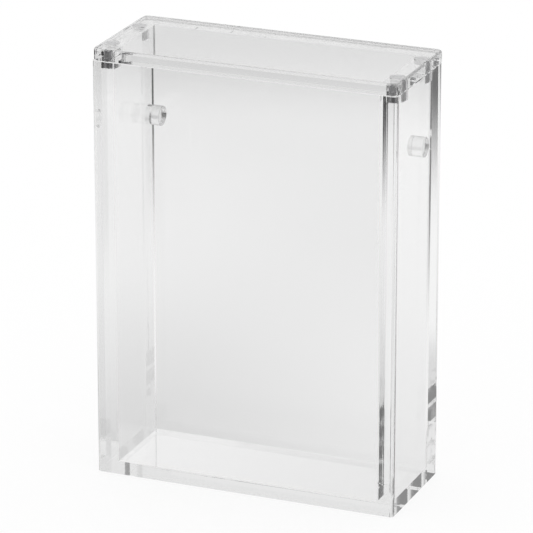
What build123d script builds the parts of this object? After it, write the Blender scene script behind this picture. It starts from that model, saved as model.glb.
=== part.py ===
"""Clear acrylic display case: cemented sheet walls, a loose magnetic lid and two pegs.

Millimetres, +Z up. The front faces -Y, and the origin is the middle of the underside.
"""
import os

from build123d import *

# Outside of the walls
width = 126.0
depth = 50.5
wall_height = 171.25

# Sheet thicknesses
side_thickness = 8.0
front_thickness = 5.0
back_thickness = 8.0
base_thickness = 4.3
lid_thickness = 4.75

# Polished edges
front_edge_radius = 1.6
back_edge_radius = 3.0
lid_front_corner_radius = 3.0
lid_back_corner_radius = 2.5
lid_top_radius = 1.0
peg_edge_radius = 0.15
magnet_rim_radius = 0.35
arris = 0.25

# Film of air between the walls and the loose lid
lid_air_film = 0.05

# Strip along the chamber's rear corners that the cement doesn't reach, and its film of air
dry_strip_width = 2.3
dry_strip_film = 0.06

# Magnets, centred in the thickness of the side walls, set back from the front and back sheets
magnet_diameter = 6.0
wall_magnet_length = 4.4
lid_magnet_length = 3.5
magnet_setback = 5.75
pocket_clearance = 0.03

# Pegs that keep a flat card against the back wall
peg_diameter = 8.0
peg_length = 6.0
peg_height = 140.0
card_slot = 1.1

# Places worked out from the sizes above
SIDES = {"left": -1, "right": 1}
inner_width = width - 2 * side_thickness
inner_depth = depth - front_thickness - back_thickness
front_face_y = -depth / 2
back_wall_y = depth / 2 - back_thickness
lid_bottom = wall_height + lid_air_film
magnet_x = width / 2 - side_thickness / 2
ROWS = {
    "front": front_face_y + front_thickness + magnet_setback,
    "back": back_wall_y - magnet_setback,
}
magnet_radius = magnet_diameter / 2
pocket_radius = magnet_radius + pocket_clearance
peg_y = back_wall_y - card_slot - peg_diameter / 2


def save(piece, name):
    """Label a finished piece and write it under its own name."""
    piece.part.label = name
    export_step(piece.part, f"parts/{name}.step")


def ease_outer_rims(panel):
    """Break the top and bottom edges that run along the outside of the case."""
    corner_reach = max(front_edge_radius, back_edge_radius) / 2

    def on_outside(rim):
        centre = rim.center()
        near_side = abs(centre.X) > width / 2 - corner_reach
        near_front_or_back = abs(centre.Y) > depth / 2 - corner_reach
        return near_side or near_front_or_back

    rims = panel.faces().filter_by(Axis.Z).edges()
    chamfer(rims.filter_by(on_outside), arris)


def make_base_plate():
    """Floor of the case, set in between the four walls."""
    with BuildPart() as plate:
        with BuildSketch(Plane.XY):
            with Locations((0, front_face_y + front_thickness + inner_depth / 2)):
                Rectangle(inner_width, inner_depth)
        extrude(amount=base_thickness)
    save(plate, "base_plate")


def make_front_panel():
    """Front sheet, set in between the side walls and flush with their front edges."""
    with BuildPart() as panel:
        with BuildSketch(Plane.XY):
            with Locations((0, front_face_y + front_thickness / 2)):
                Rectangle(inner_width, front_thickness)
        extrude(amount=wall_height)
        ease_outer_rims(panel)
    save(panel, "front_panel")


def make_back_panel():
    """Back sheet over the full width, behind the side walls, with rounded rear corners."""
    with BuildPart() as panel:
        with BuildSketch(Plane.XY):
            with Locations((0, back_wall_y + back_thickness / 2)):
                Rectangle(width, back_thickness)
        extrude(amount=wall_height)
        fillet(panel.edges().filter_by(Axis.Z).group_by(Axis.Y)[-1], back_edge_radius)
        ease_outer_rims(panel)
    save(panel, "back_panel")


def make_side_panel(side_name, side):
    """Thick side wall up to the back sheet, with two pockets in its top edge and a dry strip."""
    side_depth = depth - back_thickness
    with BuildPart() as panel:
        with BuildSketch(Plane.XY):
            with Locations((side * magnet_x, front_face_y + side_depth / 2)):
                Rectangle(side_thickness, side_depth)
        extrude(amount=wall_height)
        front_edges = panel.edges().filter_by(Axis.Z).group_by(Axis.Y)[0].sort_by(Axis.X)
        fillet(front_edges[0 if side < 0 else -1], front_edge_radius)
        ease_outer_rims(panel)
        with BuildSketch(Plane.XY.offset(wall_height)):
            with Locations(*[(side * magnet_x, magnet_y) for magnet_y in ROWS.values()]):
                Circle(pocket_radius)
        extrude(amount=-(wall_magnet_length + pocket_clearance), mode=Mode.SUBTRACT)
        with BuildSketch(Plane.XY):
            with Locations((side * (inner_width + dry_strip_width) / 2, back_wall_y - dry_strip_film / 2)):
                Rectangle(dry_strip_width, dry_strip_film)
        extrude(amount=wall_height, mode=Mode.SUBTRACT)
    save(panel, f"{side_name}_side_panel")


def make_lid_plate():
    """Loose lid over the whole top, with four pockets in its underside."""
    with BuildPart() as plate:
        with BuildSketch(Plane.XY.offset(lid_bottom)):
            Rectangle(width, depth)
        extrude(amount=lid_thickness)
        corners = plate.edges().filter_by(Axis.Z).group_by(Axis.Y)
        fillet(corners[0], lid_front_corner_radius)
        corners = plate.edges().filter_by(Axis.Z).group_by(Axis.Y)
        fillet(corners[-1], lid_back_corner_radius)
        fillet(plate.faces().sort_by(Axis.Z)[-1].edges(), lid_top_radius)
        chamfer(plate.faces().sort_by(Axis.Z)[0].edges(), arris)
        with BuildSketch(Plane.XY.offset(lid_bottom)):
            with Locations(*[(side * magnet_x, y) for side in SIDES.values() for y in ROWS.values()]):
                Circle(pocket_radius)
        extrude(amount=lid_magnet_length + pocket_clearance, mode=Mode.SUBTRACT)
    save(plate, "lid_plate")


def make_magnet(name, side, magnet_y, bottom, length):
    """Round magnet with soft rims that stands on the level of its lower end."""
    with BuildPart() as magnet:
        with BuildSketch(Plane.XY.offset(bottom)):
            with Locations((side * magnet_x, magnet_y)):
                Circle(magnet_radius)
        extrude(amount=length)
        fillet(magnet.edges().filter_by(GeomType.CIRCLE), magnet_rim_radius)
    save(magnet, name)


def make_peg(side_name, side):
    """Round peg on the inner face of a side wall, with its free end's edge eased."""
    wall_face = Plane.YZ.offset(side * inner_width / 2)
    with BuildPart() as peg:
        with BuildSketch(wall_face):
            with Locations((peg_y, peg_height)):
                Circle(peg_diameter / 2)
        extrude(amount=-side * peg_length)
        end_edges = peg.edges().filter_by(GeomType.CIRCLE).sort_by(Axis.X)
        fillet(end_edges[-1 if side < 0 else 0], peg_edge_radius)
    save(peg, f"{side_name}_peg")


os.makedirs("parts", exist_ok=True)
make_base_plate()
make_front_panel()
make_back_panel()
make_lid_plate()
for side_name, side in SIDES.items():
    make_side_panel(side_name, side)
    make_peg(side_name, side)
    for row_name, magnet_y in ROWS.items():
        place = f"{row_name}_{side_name}"
        wall_magnet_bottom = wall_height - wall_magnet_length
        make_magnet(f"wall_magnet_{place}", side, magnet_y, wall_magnet_bottom, wall_magnet_length)
        make_magnet(f"lid_magnet_{place}", side, magnet_y, lid_bottom, lid_magnet_length)
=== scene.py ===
"""Clear acrylic display case on a pale floor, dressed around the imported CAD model."""
import math

import bpy
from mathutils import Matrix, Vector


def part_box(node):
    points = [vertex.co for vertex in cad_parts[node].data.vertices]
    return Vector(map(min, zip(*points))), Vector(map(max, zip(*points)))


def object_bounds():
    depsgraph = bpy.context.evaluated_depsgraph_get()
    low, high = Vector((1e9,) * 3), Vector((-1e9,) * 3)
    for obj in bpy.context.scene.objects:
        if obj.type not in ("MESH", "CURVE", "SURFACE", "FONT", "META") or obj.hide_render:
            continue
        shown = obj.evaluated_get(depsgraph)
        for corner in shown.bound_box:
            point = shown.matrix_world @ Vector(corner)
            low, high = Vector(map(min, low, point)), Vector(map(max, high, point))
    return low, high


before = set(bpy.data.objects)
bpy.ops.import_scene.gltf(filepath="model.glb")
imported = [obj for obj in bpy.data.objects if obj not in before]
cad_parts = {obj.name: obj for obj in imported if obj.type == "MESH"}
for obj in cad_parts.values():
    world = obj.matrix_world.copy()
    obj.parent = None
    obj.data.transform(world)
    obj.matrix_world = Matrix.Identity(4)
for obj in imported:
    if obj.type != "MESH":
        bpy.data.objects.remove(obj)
cad_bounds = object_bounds()

MM = 0.001
scene = bpy.context.scene

# Optical values of cast acrylic sheet
ACRYLIC_IOR = 1.491
ACRYLIC_COLOR = (0.99, 0.99, 0.99, 1.0)
# Slight uneven haze that polishing leaves on the sheets, its patches per metre, and the span of the noise
# over which it sets in
HAZE_ROUGHNESS = 0.02
HAZE_SCALE = 60.0
HAZE_DETAIL = 2.0
HAZE_SPAN = (0.4, 0.7)
# Softness of the pegs' sawn and drawn surfaces
ROD_ROUGHNESS = 0.2
# Half-width of the layer around a cemented face that counts as that face
SEAM_REACH = 0.004 * MM
# Width of the strip along the chamber's rear corners that the cement doesn't reach
DRY_STRIP_WIDTH = 2.3 * MM

# Nickel plating of the magnets, with its grain in steps per metre
NICKEL_COLOR = (0.8, 0.8, 0.81, 1.0)
MAGNET_GRAIN_SCALE = 2500.0
MAGNET_GRAIN_DETAIL = 3.0
MAGNET_GRAIN_SPAN = (0.3, 0.7)
MAGNET_ROUGHNESS = (0.3, 0.5)
MAGNET_RELIEF_STRENGTH = 0.25
MAGNET_RELIEF_DEPTH = 0.05 * MM

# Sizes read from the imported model
base_low, base_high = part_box("base_plate")
peg_low, peg_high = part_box("left_peg")
INNER_X = base_high.x
INNER_FRONT_Y = base_low.y
INNER_BACK_Y = base_high.y
FLOOR_TOP_Z = base_high.z
PEG_Y = (peg_low.y + peg_high.y) / 2
PEG_Z = (peg_low.z + peg_high.z) / 2
PEG_RADIUS = (peg_high.z - peg_low.z) / 2


class Graph:
    """Short helper for building a node tree."""

    def __init__(self, tree):
        self.tree = tree
        tree.nodes.clear()

    def node(self, kind, **settings):
        made = self.tree.nodes.new(kind)
        for name, value in settings.items():
            setattr(made, name, value)
        return made

    def link(self, source, target):
        self.tree.links.new(source, target)

    def feed(self, socket, value):
        if isinstance(value, bpy.types.NodeSocket):
            self.link(value, socket)
        else:
            socket.default_value = value

    def math(self, operation, first, second=0.0, third=0.0):
        made = self.node("ShaderNodeMath", operation=operation)
        for socket, value in zip(made.inputs, (first, second, third)):
            self.feed(socket, value)
        return made.outputs[0]

    def near(self, value, target, reach):
        """1 where value is within reach of target, else 0."""
        offset = self.math("ABSOLUTE", self.math("SUBTRACT", value, target))
        return self.math("LESS_THAN", offset, reach)

    def both(self, first, second):
        return self.math("MULTIPLY", first, second)

    def either(self, *values):
        total = values[0]
        for value in values[1:]:
            total = self.math("MAXIMUM", total, value)
        return total

    def squares(self, first, second):
        """Sum of the squares of two values."""
        return self.math("ADD", self.math("POWER", first, 2.0), self.math("POWER", second, 2.0))

    def ramp(self, value, start, end, at_start, at_end):
        """Soft change from at_start to at_end while value goes from start to end."""
        made = self.node("ShaderNodeMapRange", interpolation_type="SMOOTHSTEP")
        self.feed(made.inputs["Value"], value)
        limits = {"From Min": start, "From Max": end, "To Min": at_start, "To Max": at_end}
        for name, limit in limits.items():
            self.feed(made.inputs[name], limit)
        return made.outputs[0]

    def blend(self, amount, first, second):
        """First where amount is 0, second where it is 1."""
        return self.math("MULTIPLY_ADD", amount, self.math("SUBTRACT", second, first), first)

    def shader_mix(self, amount, first, second):
        made = self.node("ShaderNodeMixShader")
        self.feed(made.inputs[0], amount)
        self.link(first, made.inputs[1])
        self.link(second, made.inputs[2])
        return made.outputs[0]

    def coordinates(self, kind):
        """The x, y and z of a kind of texture coordinate."""
        axes = self.node("ShaderNodeSeparateXYZ")
        self.link(self.node("ShaderNodeTexCoord").outputs[kind], axes.inputs[0])
        return axes.outputs

    def noise(self, scale, detail):
        """Noise over the object's own coordinates."""
        made = self.node("ShaderNodeTexNoise")
        made.inputs["Scale"].default_value = scale
        made.inputs["Detail"].default_value = detail
        self.link(self.node("ShaderNodeTexCoord").outputs["Object"], made.inputs["Vector"])
        return made.outputs[0]


def new_material(name):
    material = bpy.data.materials.new(name)
    material.use_nodes = True
    return material, Graph(material.node_tree)


def seam_masks(g):
    """1 on the faces that the cement turns into one clear body, and 1 on those under the pegs."""
    x, y, z = g.coordinates("Object")
    across = g.math("ABSOLUTE", x)
    below_floor_top = g.math("LESS_THAN", z, FLOOR_TOP_Z)

    on_side_face = g.near(across, INNER_X, SEAM_REACH)
    front_seam = g.both(on_side_face, g.math("LESS_THAN", y, INNER_FRONT_Y))
    floor_seam = g.both(on_side_face, below_floor_top)

    from_peg_y = g.math("SUBTRACT", y, PEG_Y)
    from_peg_z = g.math("SUBTRACT", z, PEG_Z)
    from_peg_axis = g.math("SQRT", g.squares(from_peg_y, from_peg_z))
    under_pegs = g.both(on_side_face, g.math("LESS_THAN", from_peg_axis, PEG_RADIUS))

    on_back_face = g.near(y, INNER_BACK_Y, SEAM_REACH)
    back_seam = g.both(on_back_face, g.math("GREATER_THAN", across, INNER_X + DRY_STRIP_WIDTH))
    back_floor_seam = g.both(on_back_face, below_floor_top)
    front_floor_seam = g.both(g.near(y, INNER_FRONT_Y, SEAM_REACH), below_floor_top)
    cemented = g.either(front_seam, floor_seam, back_seam, back_floor_seam, front_floor_seam)
    return cemented, under_pegs


def air_film(g, through):
    """Thin film of air inside acrylic: clear up to the critical angle and a mirror beyond it."""
    mirror = g.node("ShaderNodeBsdfAnisotropic")
    mirror.inputs["Color"].default_value = (1.0, 1.0, 1.0, 1.0)
    mirror.inputs["Roughness"].default_value = 0.0
    share = g.node("ShaderNodeFresnel")
    share.inputs["IOR"].default_value = ACRYLIC_IOR
    return g.shader_mix(share.outputs[0], through, mirror.outputs[0])


def acrylic_material(name, cemented, filmed=False, roughness=0.0):
    """Clear acrylic. Cemented faces are clear, and a filmed wall keeps a film of air under its peg."""
    material, g = new_material(name)
    out = g.node("ShaderNodeOutputMaterial")
    sheet = g.node("ShaderNodeBsdfPrincipled")
    haze = g.noise(HAZE_SCALE, HAZE_DETAIL)
    hazy_roughness = g.ramp(haze, *HAZE_SPAN, roughness, roughness + HAZE_ROUGHNESS)
    g.link(hazy_roughness, sheet.inputs["Roughness"])
    sheet.inputs["Base Color"].default_value = ACRYLIC_COLOR
    sheet.inputs["IOR"].default_value = ACRYLIC_IOR
    sheet.inputs["Transmission Weight"].default_value = 1.0
    surface = sheet.outputs[0]
    if cemented:
        through = g.node("ShaderNodeBsdfTransparent").outputs[0]
        seams, under_pegs = seam_masks(g)
        surface = g.shader_mix(seams, surface, through)
        below_peg = air_film(g, through) if filmed else through
        surface = g.shader_mix(under_pegs, surface, below_peg)
    g.link(surface, out.inputs["Surface"])
    return material


def magnet_material():
    """Nickel-plated magnet with a fine uneven grain."""
    material, g = new_material("nickel_magnet")
    out = g.node("ShaderNodeOutputMaterial")
    metal = g.node("ShaderNodeBsdfPrincipled")
    metal.inputs["Metallic"].default_value = 1.0
    metal.inputs["Base Color"].default_value = NICKEL_COLOR
    grain = g.noise(MAGNET_GRAIN_SCALE, MAGNET_GRAIN_DETAIL)
    relief = g.node("ShaderNodeBump")
    relief.inputs["Strength"].default_value = MAGNET_RELIEF_STRENGTH
    relief.inputs["Distance"].default_value = MAGNET_RELIEF_DEPTH
    g.link(grain, relief.inputs["Height"])
    g.link(relief.outputs[0], metal.inputs["Normal"])
    g.link(g.ramp(grain, *MAGNET_GRAIN_SPAN, *MAGNET_ROUGHNESS), metal.inputs["Roughness"])
    g.link(metal.outputs[0], out.inputs["Surface"])
    return material


def dress_nodes():
    """Give every CAD node its finish."""
    walls = acrylic_material("clear_acrylic_walls", cemented=True, filmed=True)
    lid = acrylic_material("clear_acrylic_lid", cemented=False)
    rod = acrylic_material("clear_acrylic_rod", cemented=True, roughness=ROD_ROUGHNESS)
    nickel = magnet_material()
    for name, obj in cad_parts.items():
        if "magnet" in name:
            finish = nickel
        elif name == "lid_plate":
            finish = lid
        elif "peg" in name:
            finish = rod
        else:
            finish = walls
        obj.data.materials.clear()
        obj.data.materials.append(finish)


# Floor and its distance below the case
FLOOR_REACH = 3.0
FLOOR_GAP = 0.2 * MM
# Share of the floor's light that comes from the surroundings, so that it takes the shadow
FLOOR_DIFFUSE_SHARE = 0.12
# Levels of the floor's glow as the case's sheets show it, painted light and shade: painted shade under
# the case, lighter on the left, a painted shadow beside the case, darker on the left, the open and front
# floor, painted darkening at a distance, and a painted dark end that only reflections show
UNDER_CASE_LEFT_SHADE_LEVEL = 1.0
UNDER_CASE_RIGHT_SHADE_LEVEL = 0.91
PAINTED_SHADOW_LEFT_LEVEL = 0.66
PAINTED_SHADOW_RIGHT_LEVEL = 0.86
OPEN_FLOOR_LEVEL = 0.965
PAINTED_FAR_SHADE_LEVEL = 0.75
FRONT_FLOOR_LEVEL = 0.97
PAINTED_DARK_END_LEVEL = 0.04
# Places on the floor between which its level changes, in metres: along x, away from the case's foot,
# along y, and towards the camera's stand
BESIDE_CASE_SPAN = (-0.12, 0.08)
LEFT_END_SPAN = (-0.46, -0.28)
SHADOW_SPAN = (-0.06, 0.36)
FAR_FLOOR_SPAN = (0.41, 0.56)
FRONT_FLOOR_SPAN = (-0.06, 0.0)
FRONT_END_SPAN = (0.14, 0.28)
# Distance from the case's foot that still counts as under the case
UNDER_CASE_REACH = 0.5 * MM
# Direction across the floor from the case to the camera's stand
TO_CAMERA_X = 0.378
TO_CAMERA_Y = -0.926

# Levels of the room as the sheets mirror it
ROOM_BEHIND_LEVEL = 0.8
ROOM_SIDE_LEVEL = 0.45
ROOM_FRONT_LEVEL = 0.12
ROOM_ABOVE_LEVEL = 0.72
# Parts of a direction between which the room's level changes: along y in front, along x on the left,
# along y behind, and upwards
ROOM_FRONT_SPAN = (-0.7, 0.1)
ROOM_LEFT_SPAN = (-0.9, -0.3)
ROOM_BEHIND_SPAN = (0.1, 0.8)
ROOM_ABOVE_SPAN = (0.35, 0.8)
# A ray that has been mirrored at least once has a glossy depth above this
MIRRORED_DEPTH = 0.5


def floor_level(g, mirrored):
    """Pale floor with painted shade: a painted soft shadow round the case, darker on its left, painted
    darkening at a distance, painted dark front and left ends where the sheets mirror it, and painted
    shade under the case.
    """
    x, y, _ = g.coordinates("Object")
    half_width, half_depth = cad_bounds[1][0], cad_bounds[1][1]
    beside_x = g.math("MAXIMUM", g.math("SUBTRACT", g.math("ABSOLUTE", x), half_width), 0.0)
    beside_y = g.math("MAXIMUM", g.math("SUBTRACT", g.math("ABSOLUTE", y), half_depth), 0.0)
    distance = g.math("SQRT", g.squares(beside_x, beside_y))

    # Painted shadow round the case, darker on its left side
    beside = g.ramp(x, *BESIDE_CASE_SPAN, PAINTED_SHADOW_LEFT_LEVEL, PAINTED_SHADOW_RIGHT_LEVEL)
    shadow = g.ramp(distance, *SHADOW_SPAN, beside, OPEN_FLOOR_LEVEL)
    # Painted shade: the floor darkens with distance from the case
    far = g.ramp(distance, *FAR_FLOOR_SPAN, 1.0, PAINTED_FAR_SHADE_LEVEL / OPEN_FLOOR_LEVEL)
    behind = g.math("MULTIPLY", shadow, far)
    level = g.blend(g.ramp(y, *FRONT_FLOOR_SPAN, 1.0, 0.0), behind, FRONT_FLOOR_LEVEL)

    # Painted dark reflection: the ends towards the camera's stand and to the left turn dark only in
    # mirrored rays
    along_x, along_y = g.math("MULTIPLY", x, TO_CAMERA_X), g.math("MULTIPLY", y, TO_CAMERA_Y)
    towards_camera = g.math("ADD", along_x, along_y)
    front_end = g.ramp(towards_camera, *FRONT_END_SPAN, 0.0, 1.0)
    left_end = g.ramp(x, *LEFT_END_SPAN, 1.0, 0.0)
    painted_dark_end = g.both(mirrored, g.either(front_end, left_end))
    level = g.blend(painted_dark_end, level, PAINTED_DARK_END_LEVEL)

    # Painted shade under the case, lighter on the left than on the right
    under = g.math("LESS_THAN", distance, UNDER_CASE_REACH)
    below = g.ramp(x, -half_width, half_width, UNDER_CASE_LEFT_SHADE_LEVEL, UNDER_CASE_RIGHT_SHADE_LEVEL)
    return g.blend(under, level, below)


def make_floor():
    """Pale table top. The camera sees it white."""
    signs = ((-1, -1), (1, -1), (1, 1), (-1, 1))
    corners = [(x * FLOOR_REACH, y * FLOOR_REACH, -FLOOR_GAP) for x, y in signs]
    mesh = bpy.data.meshes.new("floor")
    mesh.from_pydata(corners, [], [(0, 1, 2, 3)])
    floor = bpy.data.objects.new("floor", mesh)
    scene.collection.objects.link(floor)
    material, g = new_material("pale_floor")
    out = g.node("ShaderNodeOutputMaterial")
    rays = g.node("ShaderNodeLightPath")
    glow = g.node("ShaderNodeEmission")
    matt = g.node("ShaderNodeBsdfDiffuse")
    mirrored = g.math("GREATER_THAN", rays.outputs["Glossy Depth"], MIRRORED_DEPTH)
    # The floor glows with the painted shade and shadow of floor_level for every ray but the camera's,
    # which sees it plain white
    level = g.blend(rays.outputs["Is Camera Ray"], floor_level(g, mirrored), 1.0)
    shade = g.node("ShaderNodeCombineColor")
    for socket in shade.inputs:
        g.link(level, socket)
    for surface in (glow, matt):
        g.link(shade.outputs[0], surface.inputs["Color"])
    mixed = g.shader_mix(FLOOR_DIFFUSE_SHARE, glow.outputs[0], matt.outputs[0])
    g.link(mixed, out.inputs["Surface"])
    mesh.materials.append(material)


def make_world():
    """White studio. What the sheets mirror of it turns dark towards the front."""
    world = bpy.data.worlds.new("studio")
    scene.world = world
    world.use_nodes = True
    g = Graph(world.node_tree)
    out = g.node("ShaderNodeOutputWorld")
    sky = g.node("ShaderNodeBackground")
    x, y, z = g.coordinates("Generated")
    front = g.ramp(y, *ROOM_FRONT_SPAN, ROOM_FRONT_LEVEL, ROOM_SIDE_LEVEL)
    front = g.blend(g.ramp(x, *ROOM_LEFT_SPAN, 1.0, 0.0), front, ROOM_FRONT_LEVEL)
    round_about = g.blend(g.ramp(y, *ROOM_BEHIND_SPAN, 0.0, 1.0), front, ROOM_BEHIND_LEVEL)
    mirrored = g.blend(g.ramp(z, *ROOM_ABOVE_SPAN, 0.0, 1.0), round_about, ROOM_ABOVE_LEVEL)
    rays = g.node("ShaderNodeLightPath")
    unmirrored = g.math("LESS_THAN", rays.outputs["Glossy Depth"], MIRRORED_DEPTH)
    level = g.blend(unmirrored, mirrored, 1.0)
    g.link(level, sky.inputs["Color"])
    g.link(sky.outputs[0], out.inputs["Surface"])


# Camera, fitted to the outline of the case in the 533 x 533 photograph
PHOTO_SIZE = 533
FOCAL_PIXELS = 4111.0
SENSOR_WIDTH = 36.0
NEAREST_VIEW = 0.01
CAMERA_PLACE = (577.0 * MM, -1404.4 * MM, 631.3 * MM)
CAMERA_YAW = 22.351
CAMERA_PITCH = 19.724


def make_camera():
    data = bpy.data.cameras.new("camera")
    data.sensor_width = SENSOR_WIDTH
    data.lens = FOCAL_PIXELS / PHOTO_SIZE * SENSOR_WIDTH
    data.clip_start = NEAREST_VIEW
    camera = bpy.data.objects.new("camera", data)
    camera.location = CAMERA_PLACE
    camera.rotation_euler = (math.radians(90 - CAMERA_PITCH), 0, math.radians(CAMERA_YAW))
    scene.collection.objects.link(camera)
    scene.camera = camera


# Enough bounces for light that runs along inside the sheets
LIGHT_BOUNCES = 64


def set_light_paths():
    scene.view_settings.view_transform = "Standard"
    scene.cycles.max_bounces = LIGHT_BOUNCES
    scene.cycles.transmission_bounces = LIGHT_BOUNCES
    scene.cycles.glossy_bounces = LIGHT_BOUNCES
    scene.cycles.transparent_max_bounces = LIGHT_BOUNCES


dress_nodes()
make_floor()
make_world()
make_camera()
set_light_paths()
